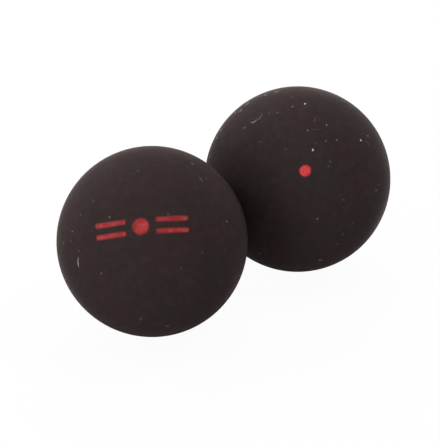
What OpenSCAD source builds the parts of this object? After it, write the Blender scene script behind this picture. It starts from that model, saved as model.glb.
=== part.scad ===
// Two squash balls lying side by side on a flat surface.
//
// Each ball is moulded as two thick rubber half shells. Their flat lands are cemented
// together, the ball is cured in a second mould, and its outside is then buffed to one
// smooth matt sphere. One half carries a printed speed dot at its pole, and the other
// half carries a plain side mark at its own pole, straight opposite the dot.
//
// Sizes are in millimetres and +Z is up. The origin lies on the surface that the balls
// stand on, midway between them. The front ball is on the -X side, the rear one on +X.

/* [Ball] */
// Outside diameter of each ball
ball_d = 40; // [36:0.5:48]
// Thickness of the rubber wall
wall_t = 5.2; // [4:0.1:7]

/* [Seam] */
// Thickness of the cured cement between the two lands
cement_t = 0.2; // [0.1:0.05:0.5]
// Width of the bevel that cuts back the inner edge of each land
bevel_w = 0.9; // [0.4:0.1:1.6]
// How far the cement that squeezes out bulges into the hollow
bead_rise = 0.4; // [0.2:0.05:0.8]

/* [Speed dot] */
// Thickness of the dried ink film
ink_t = 0.05; // [0.03:0.01:0.1]
// Diameter of the speed dot
dot_d = 2.7; // [1.5:0.1:5]

/* [Side mark] */
// Width of the whole side mark, straight across
mark_w = 19.2; // [14:0.2:24]
// Diameter of the pip in the middle of the side mark
pip_d = 3.6; // [2:0.1:4]
// Width of the stroke that draws each bar
bar_t = 1.2; // [0.5:0.1:1.3]
// Distance between the middle lines of the two bars on one side
bar_pitch = 2.4; // [1.8:0.1:3]
// Clear space between the pip and the bars
pip_gap = 1.2; // [0.6:0.1:2]

/* [Placing] */
// Clear space between the two balls where they come closest
ball_gap = 0.2; // [0.1:0.1:4]
// Compass direction that the front ball's side mark faces, an angle in degrees from +X
front_mark_azimuth = -137; // [-180:0.5:180]
// Angle of the front ball's side mark above the horizontal, in degrees
front_mark_elevation = 40; // [-60:0.5:60]
// Angle in degrees that the front ball is turned about its own poles, which slopes its mark
front_roll = 9; // [-180:1:180]
// Compass direction that the rear ball's speed dot faces, an angle in degrees from +X
rear_dot_azimuth = -125.5; // [-180:0.5:180]
// Angle of the rear ball's speed dot above the horizontal, in degrees
rear_dot_elevation = 35.5; // [-60:0.5:60]
// Angle in degrees that the rear ball is turned about its own poles
rear_roll = 0; // [-180:1:180]

/* [Hidden] */
$fn = 144;
right_angle = 90;

// How far a cutting shape runs past what it cuts
overrun = 1;

rubber_colour = [0.19, 0.165, 0.165];
cement_colour = [0.12, 0.105, 0.1];
ink_colour = [0.82, 0.2, 0.2];

outer_r = ball_d / 2;
inner_r = outer_r - wall_t;

// The lands stand off the seam plane by half the cement's thickness.
land_z = cement_t / 2;

// The bead's face is an arc across the groove between the two bevels.
groove_half_h = land_z + bevel_w;
bead_arc_r = (pow(groove_half_h, 2) + pow(bead_rise, 2)) / (2 * bead_rise);

bar_l = (mark_w - pip_d) / 2 - pip_gap;
bar_x = (mark_w - bar_l) / 2;

ball_x = (ball_d + ball_gap) / 2;

// Cuts the inner edge of a land back at 45 degrees.
module bevel_cut() {
    polygon([
        [inner_r + bevel_w, land_z],
        [inner_r - overrun, land_z],
        [inner_r - overrun, land_z + bevel_w + overrun]
    ]);
}

// Cross-section of the half shell above the seam plane, to the right of the ball's axis.
module half_profile() {
    difference() {
        intersection() {
            circle(r = outer_r);
            translate([0, land_z])
                square(outer_r);
        }
        circle(r = inner_r);
        bevel_cut();
    }
}

// The disc whose left edge is the face of the bead, trimmed to the groove's mouth.
module bead_lens() {
    intersection() {
        translate([inner_r - bead_rise + bead_arc_r, 0])
            circle(r = bead_arc_r);
        translate([inner_r - bead_rise, -groove_half_h])
            square([bead_rise + bevel_w, 2 * groove_half_h]);
    }
}

// Everything between the two halves: the film on the lands, and the bead that fills the
// groove and bulges into the hollow. Its outer edge is buffed flush with the ball.
module cement_profile() {
    difference() {
        intersection() {
            circle(r = outer_r);
            union() {
                translate([inner_r, -land_z])
                    square([wall_t, cement_t]);
                bead_lens();
            }
        }
        half_profile();
        mirror([0, 1])
            half_profile();
    }
}

// One moulded half shell, standing on its land with its pole up.
module half_shell() {
    color(rubber_colour)
        rotate_extrude()
            half_profile();
}

// The ring of cement that joins the halves.
module seam_cement() {
    color(cement_colour)
        rotate_extrude()
            cement_profile();
}

// Prints a flat drawing on the ball's outside, round the pole that points up.
module printed() {
    color(ink_colour)
        intersection() {
            difference() {
                sphere(r = outer_r + ink_t);
                sphere(r = outer_r);
            }
            linear_extrude(height = outer_r + overrun)
                children();
        }
}

// A bar with round ends, centred on the origin and lying along X.
module bar(length, width) {
    square([length - width, width], center = true);
    for (side = [-1, 1])
        translate([side * (length - width) / 2, 0])
            circle(d = width);
}

module speed_dot() {
    printed()
        circle(d = dot_d);
}

// A round pip with two bars on each side of it.
module side_mark() {
    printed() {
        circle(d = pip_d);
        for (side = [-1, 1], row = [-1, 1])
            translate([side * bar_x, row * bar_pitch / 2])
                bar(bar_l, bar_t);
    }
}

// Turns the pole that points up until it faces the given way, after a turn about itself.
module facing(azimuth, elevation, roll) {
    rotate([0, right_angle - elevation, azimuth])
        rotate([0, 0, right_angle + roll])
            children();
}

// Swaps the two poles.
module turned_over() {
    rotate([2 * right_angle, 0, 0])
        children();
}

// The front ball's place. Its side mark is on the pole that points up before it is placed.
module front_ball() {
    translate([-ball_x, 0, outer_r])
        facing(front_mark_azimuth, front_mark_elevation, front_roll)
            children();
}

// The rear ball's place. Its speed dot is on the pole that points up before it is placed.
module rear_ball() {
    translate([ball_x, 0, outer_r])
        facing(rear_dot_azimuth, rear_dot_elevation, rear_roll)
            children();
}

module front_mark_half() {
    front_ball()
        half_shell();
}

module front_dot_half() {
    front_ball()
        turned_over()
            half_shell();
}

module front_seam_cement() {
    front_ball()
        seam_cement();
}

module front_side_mark() {
    front_ball()
        side_mark();
}

module front_speed_dot() {
    front_ball()
        turned_over()
            speed_dot();
}

module rear_mark_half() {
    rear_ball()
        turned_over()
            half_shell();
}

module rear_dot_half() {
    rear_ball()
        half_shell();
}

module rear_seam_cement() {
    rear_ball()
        seam_cement();
}

module rear_side_mark() {
    rear_ball()
        turned_over()
            side_mark();
}

module rear_speed_dot() {
    rear_ball()
        speed_dot();
}

front_mark_half();
front_dot_half();
front_seam_cement();
front_side_mark();
front_speed_dot();
rear_mark_half();
rear_dot_half();
rear_seam_cement();
rear_side_mark();
rear_speed_dot();
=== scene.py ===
import math
import random

import bmesh
import bpy
from mathutils import Matrix, Vector, noise


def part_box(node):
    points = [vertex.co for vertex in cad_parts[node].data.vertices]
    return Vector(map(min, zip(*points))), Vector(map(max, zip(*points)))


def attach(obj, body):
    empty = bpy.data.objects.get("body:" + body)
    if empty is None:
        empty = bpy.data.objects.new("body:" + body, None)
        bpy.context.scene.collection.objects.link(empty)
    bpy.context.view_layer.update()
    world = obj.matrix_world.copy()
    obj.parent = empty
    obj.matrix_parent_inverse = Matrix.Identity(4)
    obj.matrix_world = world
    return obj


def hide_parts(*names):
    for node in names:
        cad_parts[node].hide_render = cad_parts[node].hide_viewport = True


# Two squash balls lying side by side, in metres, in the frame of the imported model.

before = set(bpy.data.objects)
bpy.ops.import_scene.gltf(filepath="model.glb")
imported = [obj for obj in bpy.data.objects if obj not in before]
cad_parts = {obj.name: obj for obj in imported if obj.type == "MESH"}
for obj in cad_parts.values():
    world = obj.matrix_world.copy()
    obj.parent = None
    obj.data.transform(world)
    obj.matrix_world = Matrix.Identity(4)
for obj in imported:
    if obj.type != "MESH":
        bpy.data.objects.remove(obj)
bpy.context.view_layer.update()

MM = 0.001

# Camera
CAMERA_AZIMUTH = math.radians(-39.83)
CAMERA_ELEVATION = math.radians(31.1)
CAMERA_DISTANCE = 742.6 * MM
AIM_HEIGHT = 20 * MM
AIM_RIGHT = -1.25 * MM
AIM_UP = -2.79 * MM
SENSOR_WIDTH = 36
LENS = 282.65
CLIP_START = 0.05
CLIP_END = 20

# Construction of a ball, as in the part's source
WALL = 5.2 * MM
CEMENT = 0.2 * MM
LAND = CEMENT / 2
BEVEL = 0.9 * MM
BEAD_RISE = 0.4 * MM
DOT_WIDTH = 2.7 * MM
MARK_WIDTH = 19.2 * MM
PIP_WIDTH = 3.6 * MM
BAR_STROKE = 1.2 * MM
BAR_PITCH = 2.4 * MM
PIP_GAP = 1.2 * MM

# Buffed skin: how far it lies inside the sphere, and how deep and wide its two kinds of unevenness are
BUFFED = 0.005 * MM
WAVE_DEPTH, WAVE_SIZE = 0.02 * MM, 9 * MM
GRAIN_DEPTH, GRAIN_SIZE = 0.006 * MM, 0.9 * MM

# Seam: the rounded outer edges of the lands, how deep the cement lies between them, and how far the
# middle of its face stands out
EDGE_BREAK = 0.06 * MM
SEAM_RECESS = 0.03 * MM
SEAM_CROWN = 0.01 * MM

# Mesh density of a half shell, in rings from its pole to the seam, and of the seam
OUTER_RINGS = 92
INNER_RINGS = 30
SIDES_PER_RING = 6
RIM_SIDES = SIDES_PER_RING * OUTER_RINGS
EDGE_STEPS = 4
SEAM_SIDES = RIM_SIDES // 2
BEAD_STEPS = 10

# A ball's seed times these steps shifts its noise, so that no two balls are uneven alike
NOISE_STEPS = (0.137, 0.071, -0.093)
# Rounds in the search for the direction in which a print is longest
AXIS_ROUNDS = 20


class Ball:
    """Where one ball lies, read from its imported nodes."""

    def __init__(self, name, seed):
        self.name = name
        halves = [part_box(name + "_mark_half"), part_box(name + "_dot_half")]
        low = Vector(min(h[0][i] for h in halves) for i in range(3))
        high = Vector(max(h[1][i] for h in halves) for i in range(3))
        self.centre = (low + high) / 2
        self.radius = (high - low).z / 2
        self.outside = self.radius - BUFFED
        self.inside = self.radius - WALL
        self.pole = (middle_of(name + "_side_mark") - middle_of(name + "_speed_dot")).normalized()
        across = long_axis(name + "_side_mark", self.pole)
        self.right = across if across.dot(camera_right()) > 0 else -across
        self.up = self.pole.cross(self.right)
        self.contact = self.centre - Vector((math.copysign(self.radius, self.centre.x), 0, 0))
        self.foot = self.centre - Vector((0, 0, self.radius))
        self.offset = Vector([seed * step for step in NOISE_STEPS])
        self.random = random.Random(seed)

    def matrix(self, turned=False):
        """From the ball's own axes to the frame: Z is the side mark's pole, or the dot's when turned."""
        side = -1 if turned else 1
        turn = Matrix((self.right, side * self.up, side * self.pole)).transposed()
        return Matrix.Translation(self.centre) @ turn.to_4x4()

    def skin(self, direction):
        """Distance from the centre to the buffed skin in a direction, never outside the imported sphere."""
        wave = noise.noise(direction * (self.radius / WAVE_SIZE) + self.offset)
        grain = noise.noise(direction * (self.radius / GRAIN_SIZE) + self.offset)
        dip = WAVE_DEPTH * (1 + wave) / 2 + GRAIN_DEPTH * (1 + grain) / 2
        return self.outside - max(0.0, dip)


def middle_of(node):
    points = [v.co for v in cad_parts[node].data.vertices]
    return sum(points, Vector()) / len(points)


def long_axis(node, pole):
    """The direction in which a printed node is longest, square to the pole."""
    points = [v.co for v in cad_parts[node].data.vertices]
    middle = middle_of(node)
    start = max(points, key=lambda p: (p - middle).length) - middle
    axis = start.normalized()
    for _ in range(AXIS_ROUNDS):
        axis = sum(((p - middle) * (p - middle).dot(axis) for p in points), Vector()).normalized()
    return (axis - pole * axis.dot(pole)).normalized()


def direction_at(azimuth, elevation):
    """From the balls towards something that looks at them, along +Y where the azimuth is 0."""
    flat = math.cos(elevation)
    return Vector((math.sin(azimuth) * flat, -math.cos(azimuth) * flat, math.sin(elevation)))


def camera_back():
    return direction_at(CAMERA_AZIMUTH, CAMERA_ELEVATION)


def camera_right():
    return Vector((math.cos(CAMERA_AZIMUTH), math.sin(CAMERA_AZIMUTH), 0))


def camera_up():
    return camera_back().cross(camera_right())


def look_along(thing, direction):
    """Turns a camera or a lamp, which looks along its own -Z."""
    thing.rotation_mode = "QUATERNION"
    thing.rotation_quaternion = direction.to_track_quat("-Z", "Y")


def make_camera():
    data = bpy.data.cameras.new("camera")
    data.sensor_width = SENSOR_WIDTH
    data.lens = LENS
    data.clip_start = CLIP_START
    data.clip_end = CLIP_END
    camera = bpy.data.objects.new("camera", data)
    bpy.context.scene.collection.objects.link(camera)
    aim = Vector((0, 0, AIM_HEIGHT)) + camera_right() * AIM_RIGHT + camera_up() * AIM_UP
    camera.location = aim + camera_back() * CAMERA_DISTANCE
    look_along(camera, -camera_back())
    bpy.context.scene.camera = camera


# Mesh helpers

def new_object(name, mesh_data, material):
    mesh = bpy.data.meshes.new(name)
    mesh_data.to_mesh(mesh)
    mesh_data.free()
    mesh.materials.append(material)
    for polygon in mesh.polygons:
        polygon.use_smooth = True
    made = bpy.data.objects.new(name, mesh)
    bpy.context.scene.collection.objects.link(made)
    return made


def turns(count, start=0.0):
    """Evenly spaced angles all the way round, the first one a given share of a step on."""
    return [2 * math.pi * (k + start) / count for k in range(count)]


def ring(mesh, radius, height, count):
    """Evenly spaced points round Z."""
    return [mesh.verts.new((radius * math.cos(a), radius * math.sin(a), height)) for a in turns(count)]


def stitch(mesh, inner, outer):
    """Fills the band between two closed rings of evenly spaced points with triangles."""
    a, b = len(inner), len(outer)
    i = j = 0
    while i < a or j < b:
        if j >= b or (i < a and (i + 1) * b <= (j + 1) * a):
            mesh.faces.new((inner[i % a], outer[j % b], inner[(i + 1) % a]))
            i += 1
        else:
            mesh.faces.new((inner[i % a], outer[j % b], outer[(j + 1) % b]))
            j += 1


def fan(mesh, tip, rim):
    for k in range(len(rim)):
        mesh.faces.new((tip, rim[k], rim[(k + 1) % len(rim)]))


def lathe(rings):
    """A closed solid from rings of (radius, height, count); a ring of one point is a pole."""
    mesh = bmesh.new()
    made = [ring(mesh, *r) for r in rings]
    for first, second in zip(made, made[1:]):
        if len(first) == 1:
            fan(mesh, first[0], second)
        elif len(second) == 1:
            fan(mesh, second[0], first)
        else:
            stitch(mesh, first, second)
    return mesh


# Rubber half shells, as rings of (radius, height, count) from the pole outside to the pole inside

def outer_rings(ball):
    """The buffed outside, from the pole down to the rounded edge."""
    last = math.acos((LAND + EDGE_BREAK) / ball.outside)
    rings = [(0, ball.outside, 1)]
    for k in range(1, OUTER_RINGS + 1):
        angle = last * k / OUTER_RINGS
        rings.append((ball.outside * math.sin(angle), ball.outside * math.cos(angle), SIDES_PER_RING * k))
    return rings


def edge_rings(ball):
    """The rounded edge between the outside and the land."""
    rings = []
    for k in range(1, EDGE_STEPS + 1):
        angle = math.pi / 2 * k / EDGE_STEPS
        inset = EDGE_BREAK * (1 - math.cos(angle))
        rings.append((ball.outside - inset, LAND + EDGE_BREAK * (1 - math.sin(angle)), RIM_SIDES))
    return rings


def inner_rings(ball):
    """The inner edge of the land, its bevel, and the inside up to the pole."""
    rings = [(ball.inside + BEVEL, LAND, RIM_SIDES)]
    first = math.asin((LAND + BEVEL) / ball.inside)
    for k in range(INNER_RINGS, 0, -1):
        angle = (math.pi / 2 - first) * k / INNER_RINGS
        rings.append((ball.inside * math.sin(angle), ball.inside * math.cos(angle), SIDES_PER_RING * k))
    rings.append((0, ball.inside, 1))
    return rings


def lay_in_place(mesh, ball, turned):
    """Puts a half shell where it belongs and makes its outside as uneven as the ball's skin."""
    matrix = ball.matrix(turned)
    for v in mesh.verts:
        own, placed = v.co.length, matrix @ v.co
        if own > ball.outside - EDGE_BREAK:
            direction = (placed - ball.centre).normalized()
            placed = ball.centre + direction * (ball.skin(direction) - max(0.0, ball.outside - own))
        v.co = placed


def half_shell(ball, half, turned, material):
    mesh = lathe(outer_rings(ball) + edge_rings(ball) + inner_rings(ball))
    lay_in_place(mesh, ball, turned)
    bmesh.ops.recalc_face_normals(mesh, faces=mesh.faces)
    node = ball.name + "_" + half
    made = new_object(node + "_skin", mesh, material)
    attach(made, ball.name + "_ball")
    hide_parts(node)


# Seam

def seam_profile(ball):
    """The cement's cross-section as (radius, height): its outer face, the lands and the bead's arc."""
    outside = ball.outside - WAVE_DEPTH - SEAM_RECESS
    groove = LAND + BEVEL
    arc = (groove ** 2 + BEAD_RISE ** 2) / (2 * BEAD_RISE)
    half_angle = math.asin(groove / arc)
    profile = [(outside, -LAND), (outside + SEAM_CROWN, 0), (outside, LAND), (ball.inside + BEVEL, LAND)]
    for k in range(BEAD_STEPS + 1):
        angle = half_angle * (1 - 2 * k / BEAD_STEPS)
        profile.append((ball.inside - BEAD_RISE + arc - arc * math.cos(angle), arc * math.sin(angle)))
    profile.append((ball.inside + BEVEL, -LAND))
    return profile


def seam_ring(ball, material):
    """The cured cement between the halves: a film with a rounded bead towards the hollow."""
    mesh = bmesh.new()
    rings = [ring(mesh, radius, height, SEAM_SIDES) for radius, height in seam_profile(ball)]
    for first, second in zip(rings, rings[1:] + rings[:1]):
        stitch(mesh, first, second)
    matrix = ball.matrix()
    for v in mesh.verts:
        v.co = matrix @ v.co
    bmesh.ops.recalc_face_normals(mesh, faces=mesh.faces)
    made = new_object(ball.name + "_seam_ring", mesh, material)
    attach(made, ball.name + "_ball")
    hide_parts(ball.name + "_seam_cement")


# Printed ink

# How far the film stands on the skin, and how far its underside lies in it
INK_RISE = 0.035 * MM
INK_SINK = 0.006 * MM
# The film's edge, as (millimetres from its outline, share of its thickness, how well it covers). The ink
# bleeds a little way into the rubber round the print, then rises to its full thickness.
FILM_EDGE = (
    (0.0, 0.0, 0.1),
    (0.08, 0.06, 0.28),
    (0.20, 0.12, 0.34),
    (0.23, 0.6, 0.62),
    (0.28, 0.9, 0.78),
    (0.38, 1.0, 0.92),
    (0.50, 1.0, 1.0),
)
# How far that edge starts outside the drawing
BLEED = 0.1 * MM
# The rest of the film, as shares of the width inside that edge
FILM_SHARES = (0.75, 0.5, 0.25, 0.0)
# Points of the film that are closer together than this become one
FILM_WELD = 0.0005 * MM

OUTLINE_POINTS = 96
# How fast an outline's points run along the straight sides of a bar, which leaves most for its round ends
SPINE_SPEED = 3
# How uneven an outline is, as a share of its half width, and the two waves that make it so, as (how often
# they go round, how far a patch's place across and up shifts them, share)
INK_WOBBLE = 0.035
OUTLINE_WAVES = ((2.1, 900, 500, 1.0), (7, 700, -300, 0.5))

# The stamp that prints the dot is worn: its reach in eight directions, as shares of the dot's half width
DOT_REACH_SHARES = (0.92, 0.96, 0.94, 0.93, 1.03, 1.07, 1.04, 0.98)
# How well the middle of each print covers the rubber
DOT_COVER, MARK_COVER = 1.0, 0.78


def worn_stamp(angle):
    """How far the dot reaches at an angle, on a smooth curve through the shares."""
    place = angle / (2 * math.pi) * len(DOT_REACH_SHARES)
    k = math.floor(place)
    blend = (1 - math.cos(math.pi * (place - k))) / 2
    first, second = (DOT_REACH_SHARES[j % len(DOT_REACH_SHARES)] for j in (k, k + 1))
    return first + (second - first) * blend


def even_stamp(angle):
    return 1.0


def wobble(cap, middle):
    """How far the outline of a patch strays in one direction, as a share of its half width."""
    stray = 0.0
    for often, shift_across, shift_up, share in OUTLINE_WAVES:
        place = Vector((cap.x * often, cap.y * often, middle.x * shift_across + middle.y * shift_up))
        stray += share * noise.noise(place)
    return INK_WOBBLE * stray


def outline_of(middle, length, width, reach_at):
    """The outline of a bar with round ends, as (place on its spine, way from there to the outline)."""
    reach = (length - width) / 2
    outline = []
    for angle in turns(OUTLINE_POINTS, 0.5):
        cap = Vector((math.cos(angle), math.sin(angle)))
        spine = Vector((reach * max(-1.0, min(1.0, SPINE_SPEED * cap.x)), 0))
        uneven = reach_at(angle) + wobble(cap, middle)
        outline.append((middle + spine, cap * (width / 2 * uneven + BLEED)))
    return outline


def film_ring(mesh, ball, matrix, flats, rise, cover):
    """A ring of points that stand on the skin over points of the flat drawing."""
    points = []
    for flat in flats:
        height = math.sqrt(ball.radius ** 2 - flat.length_squared)
        direction = ((matrix @ Vector((flat.x, flat.y, height))) - ball.centre).normalized()
        point = mesh.verts.new(ball.centre + direction * (ball.skin(direction) + rise))
        point[mesh.verts.layers.float["film"]] = cover
        points.append(point)
    return points


def ink_patch(mesh, ball, matrix, outline, cover):
    """A printed patch, as a thin closed film that follows the skin."""
    inside = FILM_EDGE[-1][0] * MM
    steps = [(1.0, inset * MM, rise, film) for inset, rise, film in FILM_EDGE]
    steps += [(share, inside * share, 1.0, 1.0) for share in FILM_SHARES]
    layers = []
    for share, inset, rise, film in steps:
        flats = [spine + way * (share - inset / way.length) for spine, way in outline]
        layers.append(film_ring(mesh, ball, matrix, flats, rise * INK_RISE, cover * film))
    under = film_ring(mesh, ball, matrix, [spine for spine, _ in outline], -INK_SINK, 0)
    for first, second in zip(layers, layers[1:]):
        stitch(mesh, first, second)
    stitch(mesh, layers[0], under)


def printed(ball, node, turned, patches, reach_at, cover, material):
    """Prints patches of (middle, length, width) round a pole."""
    mesh = bmesh.new()
    mesh.verts.layers.float.new("film")
    matrix = ball.matrix(turned)
    for middle, length, width in patches:
        ink_patch(mesh, ball, matrix, outline_of(Vector(middle), length, width, reach_at), cover)
    bmesh.ops.remove_doubles(mesh, verts=mesh.verts, dist=FILM_WELD)
    bmesh.ops.recalc_face_normals(mesh, faces=mesh.faces)
    made = new_object(node + "_ink", mesh, material)
    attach(made, ball.name + "_ball")
    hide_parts(node)


def speed_dot(ball, material):
    patches = [((0, 0), DOT_WIDTH, DOT_WIDTH)]
    printed(ball, ball.name + "_speed_dot", True, patches, worn_stamp, DOT_COVER, material)


def side_mark(ball, material):
    """A round pip with two bars on each side."""
    bar_length = (MARK_WIDTH - PIP_WIDTH) / 2 - PIP_GAP
    bar_x = (MARK_WIDTH - bar_length) / 2
    patches = [((0, 0), PIP_WIDTH, PIP_WIDTH)]
    for side in (-1, 1):
        for row in (-1, 1):
            patches.append(((side * bar_x, row * BAR_PITCH / 2), bar_length, BAR_STROKE))
    printed(ball, ball.name + "_side_mark", False, patches, even_stamp, MARK_COVER, material)


# Dust and lint

# The grades of specks, as (width in millimetres, how much of the rubber's colour they hide, fading). The
# last is 1 for a smear, which fades out towards its edge, and 0 for a solid grain, which ends sharply.
SPECK_GRADES = {
    "white": (0.52, 0.95, 0.0),
    "bright": (0.44, 0.50, 0.2),
    "medium": (0.50, 0.18, 0.5),
    "faint": (0.58, 0.072, 0.8),
    "smear": (1.00, 0.075, 1.0),
    "chalk": (1.15, 0.20, 1.0),
}

# Specks that the photograph shows, as (across, up) in millimetres from the middle of the ball, as the
# camera sees it. A third number says how many degrees a speck's longer side leans up from the camera's
# right. The others lie anyhow.
REAR_SPECKS = {
    "white": ((1.6, 16.2, 50), (13.6, 8.4, -35), (3.3, 6.3, 95)),
    "bright": ((6.3, 11.7, 80),),
    "medium": (
        (-11.5, 11.0), (8.5, 8.4), (16.9, -2.4), (-1.1, 15.6), (2.2, 10.5), (6.1, 8.2), (15.1, 9.3),
        (4.3, -8.5), (-8.2, -16.0),
    ),
    "faint": (
        (-1.2, 17.6), (3.7, 12.7), (3.9, 7.8), (-2.5, 6.4), (7.0, 3.8), (6.7, 2.8), (17.5, -1.3),
        (9.9, -4.5), (11.8, -9.5), (9.8, -11.9), (8.7, -13.9), (-6.2, 14.3), (-4.3, 14.3), (-8.1, 8.0),
    ),
    "chalk": (
        (-6.9, 18.1), (-4.6, 18.8), (-12.2, 14.8), (-13.4, 14.3), (-10.8, 16.2), (-16.5, 10.5),
        (-17.4, 8.9),
    ),
}
FRONT_SPECKS = {
    "medium": ((-16.7, 2.1), (-10.6, -6.7), (15.6, 4.2), (-8.9, 5.1)),
    "faint": (
        (-12.3, 8.4), (-15.0, 5.6), (-17.0, 0.1), (-15.2, -2.0), (6.1, -5.6), (3.4, 5.7), (10.5, -2.3),
    ),
    "smear": ((-2.4, -16.2), (3.3, -17.7), (8.4, 16.3), (-1.5, 19.7)),
}
# Fibres that it shows, as (start, middle, end, width, how much of the rubber's colour they hide)
REAR_FIBRES = (
    ((-10.1, 12.2), (-9.4, 12.3), (-8.8, 12.8), 0.50, 0.24),
    ((-8.6, 12.7), (-8.2, 13.1), (-7.6, 14.0), 0.24, 0.20),
    ((14.6, 8.3), (15.2, 7.7), (15.6, 6.8), 0.26, 0.09),
    ((4.5, -17.5), (4.9, -17.5), (5.3, -17.5), 0.36, 0.36),
    ((3.2, 10.7), (4.0, 10.7), (4.8, 10.7), 0.24, 0.035),
    ((-18.8, 5.4), (-18.9, 4.9), (-19.0, 4.4), 0.35, 0.25),
)
FRONT_FIBRES = (
    ((-15.4, -3.3), (-15.5, -4.4), (-15.3, -5.4), 0.21, 0.75),
    ((-3.2, 14.6), (-3.0, 14.7), (-2.7, 14.8), 0.24, 0.12),
    ((9.7, 13.6), (10.2, 13.0), (10.6, 12.4), 0.65, 0.06),
    ((11.3, 13.6), (11.4, 13.3), (11.3, 12.9), 0.24, 0.04),
    ((-18.7, 0.1), (-18.6, -0.3), (-18.5, -0.7), 0.24, 0.2),
)

# How far specks and fibres stand on the skin at most, and a speck also as a share of its width
DUST_RISE = 0.03 * MM
SPECK_RISE_SHARE = 0.25
GRAIN_SIDES = 16
# A grain's rings from its sunk underside to its top, as (share of its width, share of its height, share
# of its hiding that is left there where it fades out)
GRAIN_PROFILE = (
    (0.7, -0.7, 0.0),
    (1.0, 0.0, 0.0),
    (0.88, 0.45, 0.35),
    (0.68, 0.8, 0.9),
    (0.45, 1.0, 1.0),
    (0.15, 1.05, 1.0),
)
# A grain's longer and shorter half, as shares of half its width, and what one that leans has of them
LONG_SHARES, SHORT_SHARES = (0.95, 1.3), (0.6, 0.9)
LEANING_LONG_SHARE, LEANING_SHORT_SHARE = 1.1, 0.85
# How ragged a grain's outline is and how lumpy its top, with the scale or size of the noise that makes it so
RAGGED_SHARE, RAGGED_SCALE = 0.45, 1.6
LUMP_SHARE, LUMP_SIZE = 0.6, 0.12 * MM
# How far apart the grains lie in the noise
NOISE_REACH = 50
# Crumbs beside a speck: how many at most, how far off and how wide, as shares of its width
MOST_CRUMBS = 2
CRUMB_REACH_SHARES, CRUMB_WIDTH_SHARES = (0.6, 0.9), (0.2, 0.35)

FIBRE_STEPS, FIBRE_SIDES = 16, 6
# A fibre's thickness: how uneven it is, what its ends have of it, and where on a half wave they lie
FIBRE_UNEVEN_SHARES = (0.8, 1.2)
FIBRE_END_SHARE = 0.35
FIBRE_TAPER = 0.05

# Dust and lint on the sides that the photograph does not show. A fibre's length is a share of the ball's
# radius, its bow a share of its length, and its width in millimetres.
LOOSE_SPECKS = 60
LOOSE_GRADES = ("white", "bright") + 3 * ("medium",) + 4 * ("faint",) + ("smear",)
LOOSE_FIBRES = 12
LOOSE_LENGTH_SHARES = (0.04, 0.12)
LOOSE_BOW_SHARES = (-0.3, 0.3)
LOOSE_WIDTHS = (0.08, 0.2)
LOOSE_HIDING = (0.05, 0.5)
# A spot shows in the photograph where the cosine of the skin's tilt away from the camera is above this
SEEN_ABOVE = 0.1


def seen_at(ball, across, up):
    """Direction from the ball's centre to a spot of skin, given in millimetres as the camera sees it."""
    eye = bpy.context.scene.camera.location - ball.centre
    aim = (camera_right() * across + camera_up() * up) * MM
    sight = (aim - eye).normalized()
    closest = -eye.dot(sight)
    reach = closest - math.sqrt(max(0.0, closest ** 2 - eye.length_squared + ball.radius ** 2))
    return (eye + sight * reach).normalized()


def seen_by_camera(direction):
    return direction.dot(camera_back()) > SEEN_ABOVE


def any_direction(ball):
    return Vector([ball.random.gauss(0, 1) for _ in range(3)]).normalized()


def along_skin(direction, turn):
    """A direction along the skin, turned from the one that comes nearest to the camera's right."""
    other = direction.cross(camera_right()).normalized()
    side = other.cross(direction)
    return side * math.cos(turn) + other * math.sin(turn)


def dust_ring(mesh, spots, hiding):
    points = [mesh.verts.new(s) for s in spots]
    for point in points:
        point[mesh.verts.layers.float["hiding"]] = hiding
    return points


def close_up(mesh, layers):
    """Joins rings of points into one closed skin."""
    for first, second in zip(layers, layers[1:]):
        stitch(mesh, first, second)
    mesh.faces.new(layers[0])
    mesh.faces.new(layers[-1])


def add_grain(mesh, ball, direction, width, hiding, fading, lean=None):
    """One low lump with an uneven outline, half sunk in the skin."""
    seed = Vector([ball.random.uniform(-NOISE_REACH, NOISE_REACH) for _ in range(3)])
    turn = ball.random.uniform(0, 2 * math.pi) if lean is None else math.radians(lean)
    long = width / 2 * ball.random.uniform(*LONG_SHARES)
    short = width / 2 * ball.random.uniform(*SHORT_SHARES)
    if lean is not None:
        long *= LEANING_LONG_SHARE
        short *= LEANING_SHORT_SHARE
    high = min(DUST_RISE, SPECK_RISE_SHARE * width)
    along = along_skin(direction, turn)
    across = along_skin(direction, turn + math.pi / 2)
    layers = []
    for share, rise, left in GRAIN_PROFILE:
        spots = []
        for angle in turns(GRAIN_SIDES):
            x, y = long * share * math.cos(angle), short * share * math.sin(angle)
            way = Vector((math.cos(angle), math.sin(angle), share))
            ragged = 1 + RAGGED_SHARE * noise.noise(seed + way * RAGGED_SCALE)
            lump = 1 + LUMP_SHARE * noise.noise(seed + Vector((x, y, 0)) / LUMP_SIZE)
            out = (direction * ball.radius + (along * x + across * y) * ragged).normalized()
            spots.append(ball.centre + out * min(ball.radius, ball.skin(out) + rise * high * lump))
        layers.append(dust_ring(mesh, spots, hiding * (1 - fading * (1 - left))))
    close_up(mesh, layers)


def add_speck(mesh, ball, direction, grade, lean=None):
    """A grain of dust in a given grade. Where it lies anyhow, it may have a crumb or two beside it."""
    width, hiding, fading = SPECK_GRADES[grade]
    add_grain(mesh, ball, direction, width * MM, hiding, fading, lean)
    crumbs = ball.random.randint(0, MOST_CRUMBS) if lean is None else 0
    for _ in range(crumbs):
        turn = ball.random.uniform(0, 2 * math.pi)
        reach = width * MM * ball.random.uniform(*CRUMB_REACH_SHARES) / ball.radius
        beside = (direction + along_skin(direction, turn) * reach).normalized()
        crumb_width = width * MM * ball.random.uniform(*CRUMB_WIDTH_SHARES)
        add_grain(mesh, ball, beside, crumb_width, hiding, fading)


def on_curve(start, middle, end, share):
    """A point at a share of the way along the curve through three points."""
    from_start = start * (1 - share) * (1 - 2 * share)
    from_middle = middle * 4 * share * (1 - share)
    return from_start + from_middle + end * share * (2 * share - 1)


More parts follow.
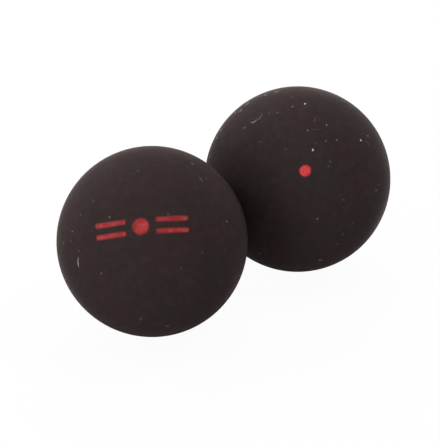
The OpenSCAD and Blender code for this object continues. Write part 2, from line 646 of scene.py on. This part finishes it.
def add_fibre(mesh, ball, start, middle, end, width, hiding):
    """A thread of lint along the skin through three directions, thinner at its ends."""
    layers = []
    for k in range(FIBRE_STEPS + 1):
        share = k / FIBRE_STEPS
        out = on_curve(start, middle, end, share).normalized()
        across = out.cross(end - start).normalized()
        wave = math.sin(math.pi * (FIBRE_TAPER + (1 - 2 * FIBRE_TAPER) * share))
        uneven = ball.random.uniform(*FIBRE_UNEVEN_SHARES)
        thick = width * MM / 2 * uneven * (FIBRE_END_SHARE + (1 - FIBRE_END_SHARE) * wave)
        flat = min(thick, DUST_RISE)
        base = min(ball.radius - flat, ball.skin(out))
        spots = []
        for angle in turns(FIBRE_SIDES):
            height = base + flat * math.sin(angle)
            spots.append(ball.centre + out * height + across * thick * math.cos(angle))
        layers.append(dust_ring(mesh, spots, hiding))
    close_up(mesh, layers)


def scatter(mesh, ball):
    """Loose dust and lint over the sides that the photograph does not show."""
    for k in range(LOOSE_SPECKS):
        direction = any_direction(ball)
        if not seen_by_camera(direction):
            add_speck(mesh, ball, direction, LOOSE_GRADES[k % len(LOOSE_GRADES)])
    for _ in range(LOOSE_FIBRES):
        start = any_direction(ball)
        turn = ball.random.uniform(0, 2 * math.pi)
        run = along_skin(start, turn) * ball.random.uniform(*LOOSE_LENGTH_SHARES)
        bow = run.cross(start) * ball.random.uniform(*LOOSE_BOW_SHARES)
        if not seen_by_camera(start):
            middle, end = (start + run / 2 + bow).normalized(), (start + run).normalized()
            width, hiding = ball.random.uniform(*LOOSE_WIDTHS), ball.random.uniform(*LOOSE_HIDING)
            add_fibre(mesh, ball, start, middle, end, width, hiding)


def dust(ball, specks, fibres, material):
    mesh = bmesh.new()
    mesh.verts.layers.float.new("hiding")
    for grade, spots in specks.items():
        for across, up, *lean in spots:
            add_speck(mesh, ball, seen_at(ball, across, up), grade, *lean)
    for *spots, width, hiding in fibres:
        add_fibre(mesh, ball, *(seen_at(ball, *spot) for spot in spots), width, hiding)
    scatter(mesh, ball)
    bmesh.ops.recalc_face_normals(mesh, faces=mesh.faces)
    made = new_object(ball.name + "_dust", mesh, material)
    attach(made, ball.name + "_ball")


# Materials

class Tree:
    """The nodes of a material or of the world, with short ways to add more."""

    def __init__(self, owner):
        owner.use_nodes = True
        self.nodes, self.links = owner.node_tree.nodes, owner.node_tree.links

    def fill(self, node, inputs):
        """Links or sets inputs of a node. A colour is given without its alpha."""
        for name, value in inputs.items():
            socket = node.inputs[name]
            if isinstance(value, bpy.types.NodeSocket):
                self.links.new(value, socket)
            elif socket.type == "RGBA":
                socket.default_value = (*value, 1)
            else:
                socket.default_value = value
        return node

    def add(self, kind, inputs):
        return self.fill(self.nodes.new("ShaderNode" + kind), inputs)

    def place(self):
        """Where a point lies in the frame at rest. It stays the same when the ball moves."""
        return self.nodes.new("ShaderNodeTexCoord").outputs["Object"]

    def attribute(self, name):
        made = self.nodes.new("ShaderNodeAttribute")
        made.attribute_name = name
        return made.outputs["Fac"]

    def cloudy(self, size, detail, roughness=0.5):
        """Noise with lumps of about a given size."""
        inputs = {"Vector": self.place(), "Scale": 1 / size, "Detail": detail, "Roughness": roughness}
        return self.add("TexNoise", inputs).outputs["Fac"]

    def cells(self, size):
        """Distance from the middle of scattered cells, in shares of their size, and each cell's tone."""
        made = self.add("TexVoronoi", {"Vector": self.place(), "Scale": 1 / size})
        return made.outputs["Distance"], made.outputs["Color"]

    def distance_from(self, point):
        made = self.nodes.new("ShaderNodeVectorMath")
        made.operation = "DISTANCE"
        return self.fill(made, {0: self.place(), 1: point}).outputs["Value"]

    def ramp(self, source, stops):
        made = self.add("ValToRGB", {"Fac": source})
        elements = made.color_ramp.elements
        while len(elements) < len(stops):
            elements.new(0.5)
        for element, (at, colour) in zip(elements, stops):
            element.position = at
            element.color = (*colour, 1)
        return made.outputs["Color"]

    def spread(self, source, band, levels=(0, 1)):
        """Goes from one level to the other while the source crosses a band."""
        made = self.add("MapRange", {"Value": source})
        self.fill(made, {"From Min": band[0], "From Max": band[1]})
        self.fill(made, {"To Min": levels[0], "To Max": levels[1]})
        return made.outputs["Result"]

    def mixed(self, factor, first, second, blend="MIX"):
        made = self.nodes.new("ShaderNodeMix")
        made.data_type = "RGBA"
        made.blend_type = blend
        return self.fill(made, {"Factor": factor, "A": first, "B": second}).outputs["Result"]

    def joined(self, operation, first, second):
        made = self.nodes.new("ShaderNodeMath")
        made.operation = operation
        return self.fill(made, {0: first, 1: second}).outputs["Value"]

    def bump(self, source, depth, onto=None):
        made = self.add("Bump", {"Strength": 1, "Distance": depth, "Height": source})
        if onto is not None:
            self.fill(made, {"Normal": onto})
        return made.outputs["Normal"]


def material_with(name):
    material = bpy.data.materials.new(name)
    tree = Tree(material)
    return material, tree, tree.nodes["Principled BSDF"]


RUBBER_WARM = (0.0360, 0.0222, 0.0229)
RUBBER_GREY = (0.0308, 0.0229, 0.0226)
# The dark tone painted into pits, into the grain's hollows and where the balls touch: painted shade
RUBBER_SHADE = (0.0120, 0.0085, 0.0085)
RUBBER_CHALK = (0.060, 0.051, 0.049)
FILLER = (0.15, 0.13, 0.125)
SHEEN_TINT = (1.0, 0.88, 0.85)

# Noise in the rubber, as (size, detail, roughness)
PATCHES = (7 * MM, 2, 0.5)
HAZE = (4 * MM, 6, 0.7)
CLOUDS = (1.6 * MM, 3, 0.5)
BUFFED_GRAIN = (0.2 * MM, 5, 0.65)
COARSE_GRAIN = (0.9 * MM, 3, 0.5)
RAGGED_EDGES = (0.12 * MM, 3, 0.5)
PORE_CELLS, FILLER_CELLS = 0.5 * MM, 0.6 * MM
# How deep the bumps of the skin are
COARSE_BUMP, GRAIN_BUMP, PORE_BUMP = 0.05 * MM, 0.05 * MM, 0.02 * MM

# The rear ball is the dustier one: how much chalk lies on it all over, and its sheen
CHALK = {"front": 0.0, "rear": 0.03}
SHEEN = {"front": 0.20, "rear": 0.26}
# How much sheen is taken away where the balls touch, and below: painted shade on those rims
CONTACT_SHADE = {"front": 1.0, "rear": 0.25}
UNDERSIDE_SHADE = {"front": 0.9, "rear": 0.95}
# How far from the point of contact, and from the lowest point, this begins to fade and where it ends
CONTACT_SHADE_BAND = (15 * MM, 22 * MM)
UNDERSIDE_SHADE_BAND = (14 * MM, 25 * MM)
# How far the rubber is darkened where the balls touch: painted shade between them
CONTACT_SHADE_DEPTH = 0.35


def pores(tree):
    """Small ragged pits that the buffing leaves, deepest in the middle and each of its own depth."""
    distance, tone = tree.cells(PORE_CELLS)
    stray = tree.spread(tree.cloudy(*RAGGED_EDGES), band=(0.3, 0.7), levels=(-0.1, 0.1))
    pit = tree.spread(tree.joined("ADD", distance, stray), band=(0.05, 0.24), levels=(1, 0))
    return tree.joined("MULTIPLY", pit, tree.spread(tone, band=(0.50, 0.95)))


def filler_grains(tree):
    """Pale grains of the chalk that fills the rubber, cut through by the buffing."""
    distance, tone = tree.cells(FILLER_CELLS)
    grain = tree.spread(distance, band=(0.03, 0.09), levels=(1, 0))
    return tree.joined("MULTIPLY", grain, tree.spread(tone, band=(0.62, 0.95)))


def skin_normal(tree, grain):
    """Fine buffed grain over a coarser unevenness, with the pores cut in."""
    coarse = tree.bump(tree.cloudy(*COARSE_GRAIN), COARSE_BUMP)
    fine = tree.bump(grain, GRAIN_BUMP, coarse)
    return tree.bump(tree.spread(pores(tree), band=(0, 1), levels=(1, 0)), PORE_BUMP, fine)


def painted_shade_masks(tree, ball):
    """Painted shade: the skin darkened where the balls touch, and sheen taken away there and below."""
    rubbed = tree.spread(tree.distance_from(ball.contact), CONTACT_SHADE_BAND, levels=(CONTACT_SHADE[ball.name], 0))
    below = tree.spread(tree.distance_from(ball.foot), UNDERSIDE_SHADE_BAND, levels=(UNDERSIDE_SHADE[ball.name], 0))
    return rubbed, tree.joined("MAXIMUM", rubbed, below)


def rubber_material(ball):
    """The buffed skin of one ball, with its own share of chalk and its own sheen."""
    material, tree, shader = material_with(ball.name + "_rubber")
    tone = tree.ramp(tree.cloudy(*PATCHES), ((0.38, RUBBER_WARM), (0.62, RUBBER_GREY)))
    chalk = CHALK[ball.name]
    haze = tree.spread(tree.cloudy(*HAZE), band=(0.60, 0.80), levels=(chalk, chalk + 0.35))
    tone = tree.mixed(haze, tone, RUBBER_CHALK)
    cloud = tree.spread(tree.cloudy(*CLOUDS), band=(0.45, 0.75), levels=(0, 0.18))
    tone = tree.mixed(cloud, tone, RUBBER_CHALK)
    grain = tree.cloudy(*BUFFED_GRAIN)
    # Paler chalk on the grain's ridges, and painted shade in its hollows
    tone = tree.mixed(tree.spread(grain, band=(0.52, 0.72), levels=(0, 0.08)), tone, RUBBER_CHALK)
    tone = tree.mixed(tree.spread(grain, band=(0.28, 0.48), levels=(0.10, 0)), tone, RUBBER_SHADE)
    rubbed, bare = painted_shade_masks(tree, ball)
    # Painted shade: the rubber darkened where the balls touch
    tone = tree.mixed(tree.spread(rubbed, band=(0, 1), levels=(0, CONTACT_SHADE_DEPTH)), tone, RUBBER_SHADE)
    # The pits are painted darker too: painted shade in them
    tone = tree.mixed(pores(tree), tone, RUBBER_SHADE)
    tone = tree.mixed(filler_grains(tree), tone, FILLER)
    tree.fill(shader, {
        "Base Color": tone,
        "Roughness": tree.spread(grain, band=(0.3, 0.7), levels=(0.74, 0.90)),
        "Normal": skin_normal(tree, grain),
        "Specular IOR Level": 0.01,
        # Sheen taken away where the balls touch and below: painted shade on those rims
        "Sheen Weight": tree.spread(bare, band=(0, 1), levels=(SHEEN[ball.name], 0)),
        "Sheen Roughness": 0.22,
        "Sheen Tint": SHEEN_TINT,
    })
    return material


CEMENT_DARK = (0.019, 0.015, 0.015)
CEMENT_LIGHT = (0.030, 0.024, 0.023)
CEMENT_TONES = (1.2 * MM, 4)
CEMENT_GRAIN = (0.15 * MM, 3)
CEMENT_BUMP = 0.01 * MM


def cement_material():
    material, tree, shader = material_with("cured_cement")
    grain = tree.cloudy(*CEMENT_GRAIN)
    tree.fill(shader, {
        "Base Color": tree.ramp(tree.cloudy(*CEMENT_TONES), ((0.35, CEMENT_DARK), (0.65, CEMENT_LIGHT))),
        "Roughness": tree.spread(grain, band=(0.3, 0.7), levels=(0.55, 0.75)),
        "Normal": tree.bump(grain, CEMENT_BUMP),
        "Specular IOR Level": 0.1,
    })
    return material


DUST_GREY = (0.48, 0.44, 0.43)
DUST_WHITE = (0.80, 0.76, 0.74)
DUST_TONES = (0.5 * MM, 3)
DUST_MOTTLE = (0.22 * MM, 4, 0.6)
DUST_GRAIN = (0.12 * MM, 3)
DUST_BUMP = 0.01 * MM


def dust_material():
    """Dust that hides the rubber's colour as far as each speck's own hiding says."""
    material, tree, shader = material_with("white_dust")
    pale = tree.ramp(tree.cloudy(*DUST_TONES), ((0.35, DUST_GREY), (0.65, DUST_WHITE)))
    mottle = tree.spread(tree.cloudy(*DUST_MOTTLE), band=(0.35, 0.65), levels=(0.6, 1.3))
    hidden = tree.joined("MULTIPLY", tree.attribute("hiding"), mottle)
    tree.fill(shader, {
        "Base Color": tree.mixed(hidden, RUBBER_GREY, pale),
        "Roughness": 0.9,
        "Normal": tree.bump(tree.cloudy(*DUST_GRAIN), DUST_BUMP),
        "Specular IOR Level": 0.03,
    })
    return material


INK_BRIGHT = (0.70, 0.040, 0.043)
INK_DEEP = (0.60, 0.034, 0.038)
INK_CHALKY = (0.275, 0.027, 0.030)
INK_THIN = (0.13, 0.009, 0.012)
# How much of each colour channel is left where the ink is still fresh
INK_FRESH_SHARES = (0.92, 0.45, 0.50)

# Noise in the ink, as (size, detail, roughness)
INK_TONES = (0.9 * MM, 4, 0.6)
INK_WEAR = (0.6 * MM, 5, 0.6)
INK_GAPS = (0.35 * MM, 5, 0.6)
INK_PINHOLES = (0.16 * MM, 3, 0.6)
INK_AGE = (1.7 * MM, 3, 0.5)
INK_GRAIN = (0.22 * MM, 4, 0.6)


def thinned(tree, worn):
    """The colour of a thin film: chalky, then dark red, then the rubber, which shows in gaps as well."""
    washed = tree.ramp(worn, ((0.0, RUBBER_WARM), (0.25, INK_THIN), (0.75, INK_CHALKY)))
    gaps = tree.spread(tree.cloudy(*INK_GAPS), band=(0.38, 0.62))
    bare = tree.joined("MULTIPLY", gaps, tree.spread(worn, band=(0.30, 0.60), levels=(0.85, 0)))
    return tree.mixed(bare, washed, RUBBER_WARM)


def aged(tree, worn, tone):
    """Patches where the ink is rubbed pale, and others where it is still deep and fresh."""
    age = tree.cloudy(*INK_AGE)
    full = tree.spread(worn, band=(0.45, 0.75))
    fresh = tree.joined("MULTIPLY", full, tree.spread(age, band=(0.40, 0.56), levels=(1, 0)))
    rubbed = tree.joined("MULTIPLY", full, tree.spread(age, band=(0.50, 0.74), levels=(0, 0.06)))
    tone = tree.mixed(fresh, tone, tree.mixed(1, tone, INK_FRESH_SHARES, blend="MULTIPLY"))
    return tree.mixed(rubbed, tone, DUST_GREY)


def ink_material():
    """Red ink that shows its wear as far as each point's own film says."""
    material, tree, shader = material_with("red_ink")
    wear = tree.spread(tree.cloudy(*INK_WEAR), band=(0.3, 0.7), levels=(0.8, 1.1))
    worn = tree.joined("MULTIPLY", tree.attribute("film"), wear)
    solid = tree.ramp(tree.cloudy(*INK_TONES), ((0.35, INK_DEEP), (0.58, INK_BRIGHT)))
    tone = tree.mixed(tree.spread(worn, band=(0.70, 0.95)), thinned(tree, worn), solid)
    pinholes = tree.spread(tree.cloudy(*INK_PINHOLES), band=(0.64, 0.74), levels=(0, 0.55))
    tone = tree.mixed(pinholes, tone, RUBBER_WARM)
    grain = tree.cloudy(*INK_GRAIN)
    tree.fill(shader, {
        "Base Color": aged(tree, worn, tone),
        "Roughness": tree.spread(grain, band=(0.3, 0.7), levels=(0.50, 0.70)),
        "Normal": skin_normal(tree, grain),
        "Specular IOR Level": 0.15,
    })
    return material


# Stage

FLOOR_SIZE = 4.0
FLOOR_SEGMENTS = 2
FLOOR_SEEN = (0.8, 0.8, 0.8)
FLOOR_BOUNCE = (0.5, 0.5, 0.5)
WHITE = (1, 1, 1)
# How far the floor glows white instead of showing its shading, and how bright the sky is as a lamp
BACKDROP_SHARE = 0.955
WORLD_LEVEL = 0.04


def seen_directly(tree):
    """1 for what the camera, a mirror or a see-through surface shows, and 0 for what lights things."""
    rays = tree.nodes.new("ShaderNodeLightPath").outputs
    seen = tree.joined("MAXIMUM", rays["Is Camera Ray"], rays["Is Glossy Ray"])
    return tree.joined("MAXIMUM", seen, rays["Is Transmission Ray"])


def floor():
    """A matt floor that keeps the balls' shadow and glows white where it is seen."""
    material, tree, shader = material_with("floor")
    tree.nodes.remove(shader)
    camera_ray = tree.nodes.new("ShaderNodeLightPath").outputs["Is Camera Ray"]
    matt = tree.add("BsdfDiffuse", {"Color": tree.mixed(camera_ray, FLOOR_BOUNCE, FLOOR_SEEN)})
    glow = tree.add("Emission", {"Color": WHITE})
    share = tree.joined("MULTIPLY", seen_directly(tree), BACKDROP_SHARE)
    blend = tree.add("MixShader", {"Fac": share, 1: matt.outputs["BSDF"], 2: glow.outputs["Emission"]})
    tree.fill(tree.nodes["Material Output"], {"Surface": blend.outputs["Shader"]})
    mesh = bmesh.new()
    bmesh.ops.create_grid(mesh, x_segments=FLOOR_SEGMENTS, y_segments=FLOOR_SEGMENTS, size=FLOOR_SIZE / 2)
    new_object("floor", mesh, material)


def sky():
    world = bpy.data.worlds.new("studio")
    bpy.context.scene.world = world
    tree = Tree(world)
    strength = tree.spread(seen_directly(tree), band=(0, 1), levels=(WORLD_LEVEL, 1))
    tree.fill(tree.nodes["Background"], {"Color": WHITE, "Strength": strength})


LAMP_DISTANCE = 1.0
LAMP_SIZE = 0.5
# Softboxes, as (name, degrees to the right of the camera, degrees above the floor, watts). These nine and
# their watts weren't chosen by hand: a least-squares fit to the photograph's shading gave them.
LAMPS = (
    ("low_back_left", -135, 12, 7.0),
    ("back", 180, 38, 5.4),
    ("low_back_right", 135, 12, 4.6),
    ("low_front_left", -45, 12, 4.5),
    ("high_right", 90, 62, 4.1),
    ("left", -90, 38, 2.9),
    ("low_front_right", 45, 12, 1.5),
    ("low_front", 0, 12, 1.3),
    ("high_left", -90, 62, 1.3),
)


def softbox(name, azimuth, elevation, power):
    """A square lamp that looks at the balls from an azimuth and elevation."""
    data = bpy.data.lights.new(name, "AREA")
    data.shape = "SQUARE"
    data.size = LAMP_SIZE
    data.energy = power
    lamp = bpy.data.objects.new(name, data)
    bpy.context.scene.collection.objects.link(lamp)
    back = direction_at(azimuth, elevation)
    lamp.location = Vector((0, 0, AIM_HEIGHT)) + back * LAMP_DISTANCE
    look_along(lamp, -back)


def lights():
    for name, turn, elevation, power in LAMPS:
        softbox(name, CAMERA_AZIMUTH + math.radians(turn), math.radians(elevation), power)


# The balls, as (name, seed, specks, fibres)
BALLS = (
    ("front", 11, FRONT_SPECKS, FRONT_FIBRES),
    ("rear", 23, REAR_SPECKS, REAR_FIBRES),
)


def main():
    bpy.context.scene.view_settings.view_transform = "Standard"
    make_camera()
    lights()
    sky()
    floor()
    cement, ink, lint = cement_material(), ink_material(), dust_material()
    for name, seed, specks, fibres in BALLS:
        ball = Ball(name, seed)
        rubber = rubber_material(ball)
        half_shell(ball, "mark_half", False, rubber)
        half_shell(ball, "dot_half", True, rubber)
        seam_ring(ball, cement)
        side_mark(ball, ink)
        speed_dot(ball, ink)
        dust(ball, specks, fibres, lint)


main()
